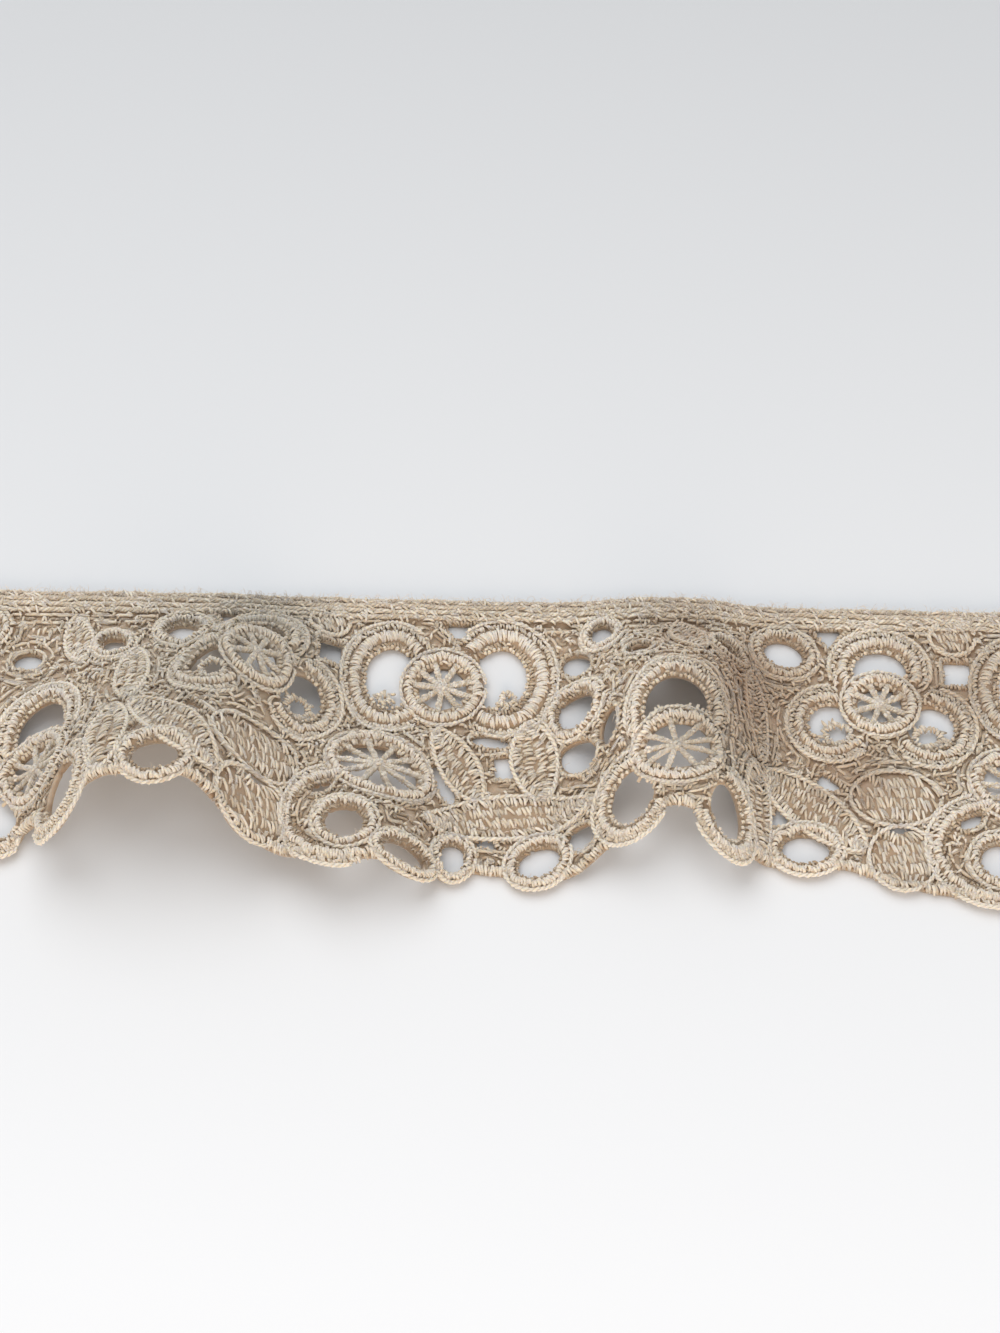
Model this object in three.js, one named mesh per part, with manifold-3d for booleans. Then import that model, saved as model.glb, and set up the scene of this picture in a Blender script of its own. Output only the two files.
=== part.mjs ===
// A cut length of guipure lace trim, lying loosely on a flat surface so that its
// scalloped side rises in soft folds. Millimetres, +Z up, +X along the trim.
//
// The lace is drawn flat first: u runs along the trim and v across it, from the
// straight heading (v = 0) to the scalloped edge. Grounds, satin bands and leaves
// are joined, the gaps are cut, and then every point is carried onto the folds.

import * as THREE from 'three';
import { mergeVertices } from 'three/addons/utils/BufferGeometryUtils.js';
import Module from 'manifold-3d';

const wasm = await Module();
wasm.setup();

// Driving sizes
const LENGTH = 186;          // along X, as it lies
const REPEAT = 98.5;         // one repeat of the motifs, laid flat
const FIRST_WHEEL_U = -6.7;  // where the repeat in the middle starts
const HEADING_V = 1.7;       // middle of the heading, at Y = 0
const HEADING_WIDTH = 3.4;
const GROUND = 1.1;          // thickness of the stitched ground
const SATIN_HEIGHT = 1.6;    // satin bands and the heading stand above the ground
const CELL = 7.5;            // longest edge of a facet before the folding
const FOLD_STEP = 0.5;       // step of the sum down the slope of a fold
const SLIVER = 0.45;         // shorter edges left by the joining are closed up

// Folds: x of the crest, reach to either side, cloth taken up, the v at which the slope starts,
// eases, turns down and rests, its three angles in degrees, lean along and push across the trim
const FOLDS = [
  { x: -87, left: 11, right: 11, take: 3, from: 8, ease: 22,
    turn: 28, rest: 60, up: 25, top: 5, down: -14, lean: 0, push: 0 },
  { x: -66, left: 12, right: 10, take: 0.8, from: 10, ease: 20,
    turn: 26, rest: 60, up: 14, top: 0, down: -10, lean: 0, push: 0 },
  { x: -43.5, left: 24, right: 16, take: 5, from: 5, ease: 36,
    turn: 42, rest: 60, up: 31, top: 2, down: -18, lean: -4, push: 0.3 },
  { x: -33, left: 12, right: 14, take: 2, from: 2, ease: 11,
    turn: 17, rest: 27, up: 32, top: 4, down: -20, lean: 0, push: 0 },
  { x: -20, left: 14, right: 14, take: 1.2, from: 20, ease: 38,
    turn: 45, rest: 60, up: 19, top: 10, down: 0, lean: 0, push: 0 },
  { x: 26, left: 18, right: 12, take: 7.5, from: 4, ease: 18,
    turn: 26, rest: 60, up: 40, top: 10, down: -14, lean: 1, push: 1.3 },
  { x: 88, left: 9, right: 9, take: 1.5, from: 10, ease: 24,
    turn: 32, rest: 60, up: 16, top: 4, down: -10, lean: 0, push: 0 },
];

// Spoked wheels: centre, half sizes outside the rim, turn in degrees, rim's width, spokes
const WHEELS = [
  { u: 0, v: 14.5, a: 6, b: 5.9, turn: 0, band: 2.5, spokes: 9 },
  { u: 69.8, v: 15.6, a: 5.4, b: 4.9, turn: 0, band: 2.2, spokes: 8 },
  { u: 35.8, v: 31.2, a: 6.8, b: 5, turn: 0, band: 1.9, spokes: 9 },
  { u: -9, v: 28.8, a: 7.9, b: 5.6, turn: 24, band: 1.9, spokes: 10 },
];

// Small satin rings: centre, half sizes outside, turn, width of the band
const RINGS = [
  { u: 23.8, v: 6.2, a: 3.6, b: 3.2, turn: 0, band: 1.4 },
  { u: 19.6, v: 18.8, a: 4.7, b: 4.4, turn: 0, band: 1.8 },
  { u: 45.6, v: 10.4, a: 3.9, b: 3, turn: 28, band: 1.3 },
  { u: 56.4, v: 7.6, a: 4.8, b: 3.9, turn: 22, band: 1.9 },
  { u: 58.4, v: 38.7, a: 5, b: 3.8, turn: 0, band: 1.7 },
  { u: 2, v: 41.4, a: 3.2, b: 3.4, turn: 0, band: 1.2 },
  { u: 14.2, v: 41.6, a: 4.9, b: 3.7, turn: -28, band: 1.7 },
  { u: -13.2, v: 39.8, a: 4.4, b: 4.2, turn: 0, band: 1.6 },
  { u: -5, v: 43.4, a: 4.3, b: 2.8, turn: 8, band: 1.3 },
];

// Petals round the wheels: centre and half sizes inside the band, its start and end in degrees
// (0 along the trim, 90 towards the scallops), its width, and whether the inside is open
const PETALS = [
  { u: -7.9, v: 13, a: 3.9, b: 5.1, start: 55, end: 312, band: 3.2, open: true },
  { u: 8.4, v: 12.8, a: 3.9, b: 5.1, start: -132, end: 112, band: 3.6, open: true },
  { u: 70, v: 10, a: 4, b: 3.2, start: 160, end: 380, band: 2.6, open: true },
  { u: 62.7, v: 18.9, a: 3.4, b: 3.2, start: 40, end: 275, band: 2.2, open: true },
  { u: 77, v: 19.2, a: 3.4, b: 3.4, start: -80, end: 140, band: 2.2, open: true },
  { u: 35.7, v: 25.8, a: 4.8, b: 5.4, start: 168, end: 372, band: 2.2, open: true },
  { u: 28.6, v: 36.9, a: 3.7, b: 3.8, start: 30, end: 280, band: 1.9, open: true },
  { u: 43.6, v: 39.4, a: 3.1, b: 3.9, start: -90, end: 160, band: 1.9, open: true },
  { u: -13.8, v: 38.2, a: 6.9, b: 5.8, start: 75, end: 258, band: 2.2, open: false },
];

// Filled leaves: base, tip and greatest width
const LEAVES = [
  { base: [-0.8, 21.4], tip: [5.8, 32.6], width: 5 },
  { base: [12.6, 19.8], tip: [14.2, 32.2], width: 6.2 },
  { base: [-2.4, 36.2], tip: [22, 33.8], width: 6 },
  { base: [52.6, 26.8], tip: [66.6, 38.6], width: 6.2 },
  { base: [50, 12.2], tip: [51.6, 26], width: 4.4 },
  { base: [50.2, 27.4], tip: [50.8, 40.6], width: 5.4 },
  { base: [37.2, 4.6], tip: [40.4, 13.2], width: 4.4 },
];

// Filled ovals: centre and half sizes
const BLOBS = [
  { u: 71.2, v: 30.6, a: 6, b: 4 },
  { u: 71.7, v: 39.8, a: 4.4, b: 4.6 },
  { u: 80.8, v: 4.4, a: 3, b: 2.6 },
];

// Further gaps cut through: centre, half sizes, turn, corners (0 for an oval)
const GAPS = [
  { u: 19.6, v: 10.9, a: 2.4, b: 1.7, turn: 20, corners: 0 },
  { u: 20, v: 26.3, a: 3.1, b: 2.2, turn: 35, corners: 0 },
  { u: 25, v: 24.6, a: 1.4, b: 2.6, turn: 10, corners: 0 },
  { u: 9.4, v: 27, a: 2.4, b: 2.4, turn: 40, corners: 4 },
  { u: 7, v: 23, a: 2.6, b: 0.9, turn: 8, corners: 0 },
  { u: 0.6, v: 30, a: 1.2, b: 3.3, turn: -24, corners: 0 },
  { u: 6.8, v: 38.8, a: 2.4, b: 1.8, turn: 30, corners: 3 },
  { u: 20.4, v: 38.8, a: 2.2, b: 1.7, turn: 0, corners: 0 },
  { u: 81.2, v: 10.2, a: 2.7, b: 2.7, turn: 45, corners: 4 },
  { u: 63, v: 4.5, a: 2.2, b: 2.8, turn: 90, corners: 3 },
  { u: 62, v: 28.5, a: 3.4, b: 1.6, turn: 22, corners: 3 },
  { u: 55, v: 34, a: 2.8, b: 2.2, turn: 150, corners: 3 },
  { u: 71.6, v: 35.3, a: 2.6, b: 0.7, turn: 0, corners: 0 },
  { u: 2.2, v: 4.8, a: 1.8, b: 3.6, turn: 90, corners: 3 },
  { u: -17.2, v: 33.2, a: 2, b: 1.6, turn: -40, corners: 0 },
  { u: 30.8, v: 12, a: 2.2, b: 1.5, turn: 0, corners: 0 },
];

// Lower edge of the ground between the scallops, as u and v along one repeat
const EDGE = [
  [0, 41.8], [5.4, 43.4], [9.6, 43.6], [14, 44.4], [19, 43.8], [24, 42], [30, 40.4], [36, 39.2],
  [41, 41.4], [48, 41.6], [52, 41], [58, 41.6], [64, 41.2], [68, 42.8], [75, 44.6], [82, 45.6],
  [88, 45.4], [93, 44.6],
];

const radians = (degrees) => degrees * Math.PI / 180;
const clamp = (t, low, high) => Math.min(Math.max(t, low), high);
const smooth = (from, to, t) => {
  const s = clamp((t - from) / (to - from), 0, 1);
  return s * s * (3 - 2 * s);
};

// The folds: from the flat trim to the way it lies

function side(fold, x) {
  return clamp((x - fold.x) / (x < fold.x ? fold.left : fold.right), -1, 1);
}

// How much of a fold is felt at x: a broad top, and nothing beyond its reach
function shareOf(fold, x) {
  return Math.cos(Math.PI * Math.abs(side(fold, x)) ** 1.5 / 2) ** 2;
}

function flatU(x) {
  let u = x;
  for (const fold of FOLDS) {
    const s = side(fold, x);
    u += fold.take * (s - Math.sin(2 * Math.PI * s) / (2 * Math.PI)) / 2;
  }
  return u;
}

function lyingX(u) {
  let low = u - 30;
  let high = u + 30;
  for (let i = 0; i < 40; i++) {
    const middle = (low + high) / 2;
    if (flatU(middle) < u) low = middle;
    else high = middle;
  }
  return (low + high) / 2;
}

function slope(fold, v) {
  const { from, ease, turn, rest, up, top, down } = fold;
  const rise = up * smooth(from - 1, from + 4, v);
  const level = (top - up) * smooth(ease - 2.5, ease + 2.5, v);
  const fall = (down - top) * smooth(turn - 2.5, turn + 2.5, v);
  const last = -down * smooth(rest - 2.5, rest + 2.5, v);
  return radians(rise + level + fall + last);
}

function lying(u, v) {
  const x = lyingX(u);
  const near = FOLDS.map((fold) => ({ fold, share: shareOf(fold, x) })).filter((f) => f.share > 1e-6);
  const point = new THREE.Vector3(x, HEADING_V, 0);
  const steps = Math.ceil(v / FOLD_STEP);
  for (let i = 0; i < steps; i++) {
    const dv = Math.min(FOLD_STEP, v - i * FOLD_STEP);
    const middle = i * FOLD_STEP + dv / 2;
    let angle = 0;
    for (const { fold, share } of near) angle += slope(fold, middle) * share;
    const z = point.z + Math.sin(angle) * dv;
    point.y -= (z > 0 ? Math.cos(angle) : 1) * dv;
    point.z = Math.max(z, 0);
  }
  for (const { fold, share } of near) {
    point.x += fold.lean * share * v / 50;
    point.y += fold.push * share;
  }
  return point;
}

function fold(geometry) {
  const positions = geometry.attributes.position;
  const nudge = 0.3;
  for (let i = 0; i < positions.count; i++) {
    const [u, v, h] = [positions.getX(i), Math.max(-positions.getY(i), 0), positions.getZ(i)];
    const point = lying(u, v);
    const along = lying(u + nudge, v).sub(lying(u - nudge, v));
    const across = lying(u, v + nudge).sub(lying(u, Math.max(v - nudge, 0)));
    const normal = across.cross(along).normalize();
    if (point.z < 1e-6 && h < 1e-6) normal.set(0, 0, 1);
    point.addScaledVector(normal, h);
    positions.setXYZ(i, point.x, point.y, Math.max(point.z, 0));
  }
}

// Flat shapes, drawn with v downwards, so Y of a shape is -v

function ovalPoints({ u, v, a, b, turn = 0 }, inset = 0, segments = 14) {
  const points = [];
  for (let i = 0; i < segments; i++) {
    const t = 2 * Math.PI * i / segments;
    const x = (a - inset) * Math.cos(t);
    const y = (b - inset) * Math.sin(t);
    const k = radians(turn);
    points.push(new THREE.Vector2(
      u + x * Math.cos(k) - y * Math.sin(k),
      -(v + x * Math.sin(k) + y * Math.cos(k))));
  }
  return points;
}

function prism(points, height, holes = []) {
  const turned = THREE.ShapeUtils.isClockWise(points) ? [...points].reverse() : points;
  const shape = new THREE.Shape(turned);
  for (const hole of holes) shape.holes.push(new THREE.Path(hole));
  return solid(new THREE.ExtrudeGeometry(shape, { depth: height, bevelEnabled: false, steps: 1 }));
}

function solid(geometry) {
  const plain = geometry.clone();
  plain.deleteAttribute('normal');
  plain.deleteAttribute('uv');
  const merged = mergeVertices(plain, 1e-4);
  return new wasm.Manifold(new wasm.Mesh({
    numProp: 3,
    vertProperties: new Float32Array(merged.attributes.position.array),
    triVerts: new Uint32Array(merged.index.array),
  }));
}

function ring({ band, ...oval }) {
  const segments = oval.a > 5 ? 16 : 11;
  return prism(ovalPoints(oval, 0, segments), SATIN_HEIGHT, [ovalPoints(oval, band, segments)]);
}

function petal({ u, v, a, b, start, end, band }) {
  const segments = Math.ceil((end - start) / 24);
  const edge = (offset) => Array.from({ length: segments + 1 }, (_, i) => {
    const t = radians(start + (end - start) * i / segments);
    return new THREE.Vector2(u + (a + offset) * Math.cos(t), -(v + (b + offset) * Math.sin(t)));
  });
  return prism([...edge(band), ...edge(0).reverse()], SATIN_HEIGHT);
}

function leaf({ base, tip, width }) {
  const [from, to] = [new THREE.Vector2(base[0], -base[1]), new THREE.Vector2(tip[0], -tip[1])];
  const axis = to.clone().sub(from);
  const aside = new THREE.Vector2(-axis.y, axis.x).normalize().multiplyScalar(width / 2);
  const swell = [0.12, 0.36, 0.64, 0.88].map((t) => ({ t, w: Math.sin(Math.PI * t) ** 0.6 }));
  const left = swell.map(({ t, w }) => from.clone().addScaledVector(axis, t).addScaledVector(aside, w));
  const right = swell.map(({ t, w }) => from.clone().addScaledVector(axis, t).addScaledVector(aside, -w));
  return prism([from, ...left, to, ...right.reverse()], GROUND);
}

// What is cut away: an oval, or a shape of so many corners, through the whole height
function cut(oval, corners = 10, inset = 0) {
  return moved(prism(ovalPoints(oval, inset, corners || 10), SATIN_HEIGHT + 2), 0, -1);
}

function wheel(oval) {
  const hub = prism(ovalPoints({ ...oval, a: 1.5, b: 1.5 }, 0, 6), GROUND);
  const parts = [ring(oval), hub];
  const k = radians(oval.turn);
  for (let i = 0; i < oval.spokes; i++) {
    const t = 2 * Math.PI * (i + 0.5) / oval.spokes;
    const x = (oval.a - oval.band / 2) * Math.cos(t);
    const y = (oval.b - oval.band / 2) * Math.sin(t);
    const end = new THREE.Vector2(
      oval.u + x * Math.cos(k) - y * Math.sin(k),
      -(oval.v + x * Math.sin(k) + y * Math.cos(k)));
    parts.push(bar(new THREE.Vector2(oval.u, -oval.v), end, 0.8, GROUND));
  }
  return joined(parts);
}

function bar(from, to, width, height) {
  const aside = to.clone().sub(from).normalize().rotateAround(new THREE.Vector2(), Math.PI / 2);
  aside.multiplyScalar(width / 2);
  return prism([from.clone().add(aside), from.clone().sub(aside), to.clone().sub(aside),
    to.clone().add(aside)], height);
}

// Joining and cutting

function moved(manifold, u, z = 0) {
  return manifold.translate([u, 0, z]);
}

function joined(parts) {
  return parts.reduce((whole, part) => whole.add(part));
}

function inEveryRepeat(part) {
  return joined([-2, -1, 0, 1, 2].map((n) => moved(part, FIRST_WHEEL_U + n * REPEAT)));
}

function box(u0, u1, v0, v1, z0, z1) {
  const geometry = new THREE.BoxGeometry(u1 - u0, v1 - v0, z1 - z0);
  geometry.translate((u0 + u1) / 2, -(v0 + v1) / 2, (z0 + z1) / 2);
  return solid(geometry);
}

function ground(u0, u1) {
  const lower = [];
  for (let n = -2; n <= 2; n++) {
    for (const [u, v] of EDGE) lower.push([FIRST_WHEEL_U + n * REPEAT + u, v]);
  }
  const inside = lower.filter(([u]) => u > u0 - 8 && u < u1 + 8);
  const curve = new THREE.SplineCurve(inside.map(([u, v]) => new THREE.Vector2(u, -v)));
  const points = curve.getPoints(inside.length * 2);
  const first = points[0];
  const last = points[points.length - 1];
  return prism([new THREE.Vector2(first.x, 0), ...points, new THREE.Vector2(last.x, 0)], GROUND);
}

function flatLace() {
  const u0 = flatU(-LENGTH / 2);
  const u1 = flatU(LENGTH / 2);
  const gaps = joined([
    ...GAPS.map((gap) => cut(gap, gap.corners)),
    ...PETALS.filter((petal) => petal.open).map((petal) => cut(petal, 12, -0.1)),
    ...WHEELS.map((wheel) => cut(wheel, 16, wheel.band - 0.3)),
    ...RINGS.map((ring) => cut(ring, 11, ring.band - 0.2)),
  ]);
  const filled = joined([
    ...LEAVES.map(leaf),
    ...BLOBS.map((blob) => prism(ovalPoints(blob, 0, 10), GROUND)),
  ]);
  const rims = joined([...WHEELS.map(wheel), ...RINGS.map(ring), ...PETALS.map(petal)]);
  const open = ground(u0, u1).add(inEveryRepeat(filled)).subtract(inEveryRepeat(gaps));
  const heading = box(u0 - 1, u1 + 1, 0, HEADING_WIDTH, 0, SATIN_HEIGHT);
  const whole = joined([open, inEveryRepeat(rims), heading]);
  return whole.intersect(box(u0, u1, -0.5, 60, -1, 5));
}

// The skin of the flat lace: points, triangles, and the triangles around each point

function skinOf(manifold) {
  const mesh = manifold.getMesh();
  const points = [];
  for (let i = 0; i < mesh.vertProperties.length; i += 3) {
    points.push(new THREE.Vector3().fromArray(mesh.vertProperties, i));
  }
  const triangles = [];
  for (let i = 0; i < mesh.triVerts.length; i += 3) triangles.push([...mesh.triVerts.slice(i, i + 3)]);
  return { points, triangles };
}

function aroundPoints({ points, triangles }) {
  const around = points.map(() => new Set());
  for (const triangle of triangles) for (const p of triangle) around[p].add(triangle);
  return around;
}

function normalOf(points, [a, b, c]) {
  const side1 = points[b].clone().sub(points[a]);
  return side1.cross(points[c].clone().sub(points[a]));
}

// Slivers left by the joining go: the ends of a very short edge become one point
function withoutSlivers(skin) {
  const { points } = skin;
  const around = aroundPoints(skin);
  const neighbours = (p) => new Set([...around[p]].flat().filter((q) => q !== p));
  const canJoin = (a, b) => {
    const shared = [...neighbours(a)].filter((p) => neighbours(b).has(p));
    if (shared.length !== 2) return false;
    return [...around[b]].filter((t) => !t.includes(a)).every((t) => {
      const before = normalOf(points, t);
      const after = normalOf(points, t.map((p) => (p === b ? a : p)));
      return after.length() > 1e-3 && before.dot(after) > 0.5 * before.length() * after.length();
    });
  };
  let changed = true;
  while (changed) {
    changed = false;
    for (const triangle of skin.triangles) {
      for (let k = 0; k < 3; k++) {
        const [a, b] = [triangle[k], triangle[(k + 1) % 3]];
        if (!around[a].has(triangle) || points[a].distanceTo(points[b]) > SLIVER || !canJoin(a, b)) continue;
        for (const t of [...around[b]]) {
          if (t.includes(a)) for (const p of t) around[p].delete(t);
          else {
            t[t.indexOf(b)] = a;
            around[a].add(t);
            around[b].delete(t);
          }
        }
        changed = true;
        break;
      }
    }
    skin.triangles = skin.triangles.filter((t) => around[t[0]].has(t));
  }
  return skin;
}

// Long thin facets of a level face are turned into even ones
function evened(skin) {
  const { points, triangles } = skin;
  const around = aroundPoints(skin);
  const angle = (p, q, r) => points[q].clone().sub(points[p]).angleTo(points[r].clone().sub(points[p]));
  for (let pass = 0, changed = true; changed && pass < 20; pass++) {
    changed = false;
    for (const first of triangles) {
      for (let k = 0; k < 3; k++) {
        const [a, b, c] = [first[k], first[(k + 1) % 3], first[(k + 2) % 3]];
        const second = [...around[a]].find((t) => t !== first && t.includes(b));
        const d = second.find((p) => p !== a && p !== b);
        const level = [a, b, c, d].every((p) => Math.abs(points[p].z - points[a].z) < 1e-5);
        if (!level || angle(c, a, b) + angle(d, a, b) < Math.PI + 1e-4) continue;
        const turned = [[a, d, c], [d, b, c]];
        const up = Math.sign(normalOf(points, first).z);
        if (turned.some((t) => normalOf(points, t).z * up < 1e-4)) continue;
        if ([...around[c]].some((t) => t.includes(d))) continue;
        for (const t of [first, second]) for (const p of t) around[p].delete(t);
        first.splice(0, 3, ...turned[0]);
        second.splice(0, 3, ...turned[1]);
        for (const t of [first, second]) for (const p of t) around[p].add(t);
        changed = true;
        break;
      }
    }
  }
  return skin;
}

// Facets small enough to follow the folds
function refined(skin) {
  const { points } = skin;
  let { triangles } = skin;
  const middles = new Map();
  const middle = (a, b) => {
    if (points[a].distanceTo(points[b]) <= CELL) return -1;
    const key = a < b ? `${a}_${b}` : `${b}_${a}`;
    if (!middles.has(key)) {
      middles.set(key, points.length);
      points.push(points[a].clone().add(points[b]).multiplyScalar(0.5));
    }
    return middles.get(key);
  };
  triangles = triangles.flatMap((triangle) => split(triangle, middle, points));
  return { points, triangles, done: middles.size === 0 };
}

// A triangle whose long edges have a middle point becomes two, three or four
function split([a, b, c], middle, points) {
  const middles = [middle(a, b), middle(b, c), middle(c, a)];
  const count = middles.filter((m) => m >= 0).length;
  if (count === 0) return [[a, b, c]];
  const turn = count === 2 ? middles.indexOf(-1) + 1 : middles.findIndex((m) => m >= 0);
  const at = (list, k) => list[(turn + k) % 3];
  const [p, q, r] = [at([a, b, c], 0), at([a, b, c], 1), at([a, b, c], 2)];
  const [pq, qr, rp] = [at(middles, 0), at(middles, 1), at(middles, 2)];
  if (count === 1) return [[p, pq, r], [pq, q, r]];
  if (count === 3) return [[p, pq, rp], [pq, q, qr], [rp, qr, r], [pq, qr, rp]];
  const shortcut = points[p].distanceTo(points[qr]) < points[pq].distanceTo(points[r]);
  return shortcut
    ? [[pq, q, qr], [p, pq, qr], [p, qr, r]]
    : [[pq, q, qr], [p, pq, r], [pq, qr, r]];
}

function toGeometry({ points, triangles }) {
  const geometry = new THREE.BufferGeometry();
  const numbers = points.flatMap((p) => [p.x, p.y, p.z]);
  geometry.setAttribute('position', new THREE.Float32BufferAttribute(numbers, 3));
  geometry.setIndex(triangles.flat());
  return geometry;
}

function laceTrim() {
  let skin = evened(withoutSlivers(skinOf(flatLace())));
  for (let pass = 0; pass < 6 && !skin.done; pass++) {
    skin = refined(skin);
    evened(skin);
  }
  const geometry = toGeometry(skin);
  fold(geometry);
  geometry.computeVertexNormals();
  const ecru = new THREE.MeshStandardMaterial({ color: 0xcbb79b, roughness: 0.9, metalness: 0 });
  const mesh = new THREE.Mesh(geometry, ecru);
  mesh.name = 'lace_trim';
  return mesh;
}

const part = new THREE.Group();
part.name = 'lace_trim_length';
part.add(laceTrim());

export default part;
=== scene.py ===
# %% [markdown]
# # A length of guipure lace trim
# Guipure is heavy lace: a machine embroiders cotton thread on a film, and the film is
# washed away. Satin stitches over a padding make the bands and rings, rows of stitches
# fill the leaves, and twisted cords tie them together. Here the trim is drawn flat,
# stitch by stitch, and every point is then carried onto the folds in which it lies.

# %% Load the frame
import math

import bmesh
import bpy
import numpy as np
from mathutils import Matrix


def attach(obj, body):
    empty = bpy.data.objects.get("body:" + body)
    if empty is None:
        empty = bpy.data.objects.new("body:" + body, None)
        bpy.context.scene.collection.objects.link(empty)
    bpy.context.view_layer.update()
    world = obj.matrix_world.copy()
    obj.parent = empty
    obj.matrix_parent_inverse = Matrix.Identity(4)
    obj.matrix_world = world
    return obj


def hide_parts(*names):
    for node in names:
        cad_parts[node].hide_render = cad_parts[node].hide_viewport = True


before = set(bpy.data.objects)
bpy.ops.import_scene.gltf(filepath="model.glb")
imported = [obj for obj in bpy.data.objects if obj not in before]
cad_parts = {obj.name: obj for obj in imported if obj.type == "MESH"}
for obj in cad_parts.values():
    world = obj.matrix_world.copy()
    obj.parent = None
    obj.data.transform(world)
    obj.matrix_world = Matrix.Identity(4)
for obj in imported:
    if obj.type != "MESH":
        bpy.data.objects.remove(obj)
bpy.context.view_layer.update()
rng = np.random.default_rng(28)

# %% [markdown]
# ## The sizes of the flat trim
# All sizes are millimetres on the flat trim: u runs along it and v across it, from
# the straight heading to the scallops. A maker's drawing of a trim shows one repeat,
# so each table holds one repeat of the motifs, and a loop lays it out again. A table
# starts with the names of its columns.

# %% Sizes
MM = 0.001
LENGTH = 186.0  # as it lies, from one cut end to the other
DEPTH = 50.0  # across, past the deepest scallops, which are drawn at 46.2
REPEAT = 98.5
REPEATS = (-2, -1, 0, 1, 2)
FIRST_WHEEL_U = -6.7
HEADING_V = 1.7  # the middle of the heading
HEADING_WIDTH = 3.4
GROUND = 0.7  # heights above the back: the ground, the heading and the satin
HEADING_HEIGHT = 1.0
SATIN = 1.75
PADDING = SATIN - 0.15  # what the satin is stitched over
STITCH = 0.4  # from one stitch to the next along a band

# The raised crest of a band, as shares of the band's width: how wide it is, and where
# its middle lies, from a rim's outer side or from a petal's inner side
RIM_CREST, RIM_MIDDLE = 0.62, 0.36
PETAL_CREST, PETAL_MIDDLE = 0.58, 0.56

def table(names, *rows):
    """One dict for each row of values."""
    return [dict(zip(names.split(), row)) for row in rows]

print("one repeat is", REPEAT, "mm long, its satin", SATIN, "mm high")

# %% Folds
# Each fold: x of the crest, reach to either side, cloth taken up, the v at which its slope starts,
# eases, turns down and rests, its three angles in degrees, lean along and push across the trim
FOLDS = table(
    "x left right take start ease turn rest up top down lean push",
    (-87, 11, 11, 3, 8, 22, 28, 60, 25, 5, -14, 0, 0),
    (-66, 12, 10, 0.8, 10, 20, 26, 60, 14, 0, -10, 0, 0),
    (-43.5, 24, 16, 5, 5, 36, 42, 60, 31, 2, -18, -4, 0.3),
    (-33, 12, 14, 2, 2, 11, 17, 27, 32, 4, -20, 0, 0),
    (-20, 14, 14, 1.2, 20, 38, 45, 60, 19, 10, 0, 0, 0),
    (26, 18, 12, 7.5, 4, 18, 26, 60, 40, 10, -14, 1, 1.3),
    (88, 9, 9, 1.5, 10, 24, 32, 60, 16, 4, -10, 0, 0),
)

print(len(FOLDS), "folds")

# %% Motifs of one repeat
# Spoked wheels: centre, half sizes outside the rim, turn in degrees, rim's width, spokes
WHEELS = table(
    "u v a b turn band spokes",
    (0, 14.5, 6, 5.9, 0, 2.5, 9),
    (69.8, 15.6, 5.4, 4.9, 0, 2.2, 8),
    (35.8, 31.2, 6.8, 5, 0, 1.9, 9),
    (-9, 28.8, 7.9, 5.6, 24, 1.9, 10),
)

# Small satin rings: centre, half sizes outside, turn, width of the band
RINGS = table(
    "u v a b turn band",
    (23.8, 6.2, 3.6, 3.2, 0, 1.4),
    (19.6, 18.8, 4.7, 4.4, 0, 1.8),
    (45.6, 10.4, 3.9, 3, 28, 1.3),
    (56.4, 7.6, 4.8, 3.9, 22, 1.9),
    (58.4, 38.7, 5, 3.8, 0, 1.7),
    (2, 41.4, 3.2, 3.4, 0, 1.2),
    (14.2, 41.6, 4.9, 3.7, -28, 1.7),
    (-13.2, 39.8, 4.4, 4.2, 0, 1.6),
    (-5, 43.4, 4.3, 2.8, 8, 1.3),
)

# Petals round the wheels: centre and half sizes inside the band, its start and end in degrees
# (0 along the trim, 90 towards the scallops), its width, and whether the inside is open
PETALS = table(
    "u v a b start end band open",
    (-7.9, 13, 3.9, 5.1, 55, 312, 3.2, True),
    (8.4, 12.8, 3.9, 5.1, -132, 112, 3.6, True),
    (70, 10, 4, 3.2, 160, 380, 2.6, True),
    (62.7, 18.9, 3.4, 3.2, 40, 275, 2.2, True),
    (77, 19.2, 3.4, 3.4, -80, 140, 2.2, True),
    (35.7, 25.8, 4.8, 5.4, 168, 372, 2.2, True),
    (28.6, 36.9, 3.7, 3.8, 30, 280, 1.9, True),
    (43.6, 39.4, 3.1, 3.9, -90, 160, 1.9, True),
    (-13.8, 38.2, 6.9, 5.8, 75, 258, 2.2, False),
)

# Filled leaves: base, tip and greatest width
LEAVES = table(
    "base tip width",
    ((-0.8, 21.4), (5.8, 32.6), 5),
    ((12.6, 19.8), (14.2, 32.2), 6.2),
    ((-2.4, 36.2), (22, 33.8), 6),
    ((52.6, 26.8), (66.6, 38.6), 6.2),
    ((50, 12.2), (51.6, 26), 4.4),
    ((50.2, 27.4), (50.8, 40.6), 5.4),
    ((37.2, 4.6), (40.4, 13.2), 4.4),
)

# Filled ovals: centre and half sizes
BLOBS = table(
    "u v a b",
    (71.2, 30.6, 6, 4),
    (71.7, 39.8, 4.4, 4.6),
    (80.8, 4.4, 3, 2.6),
)

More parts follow.
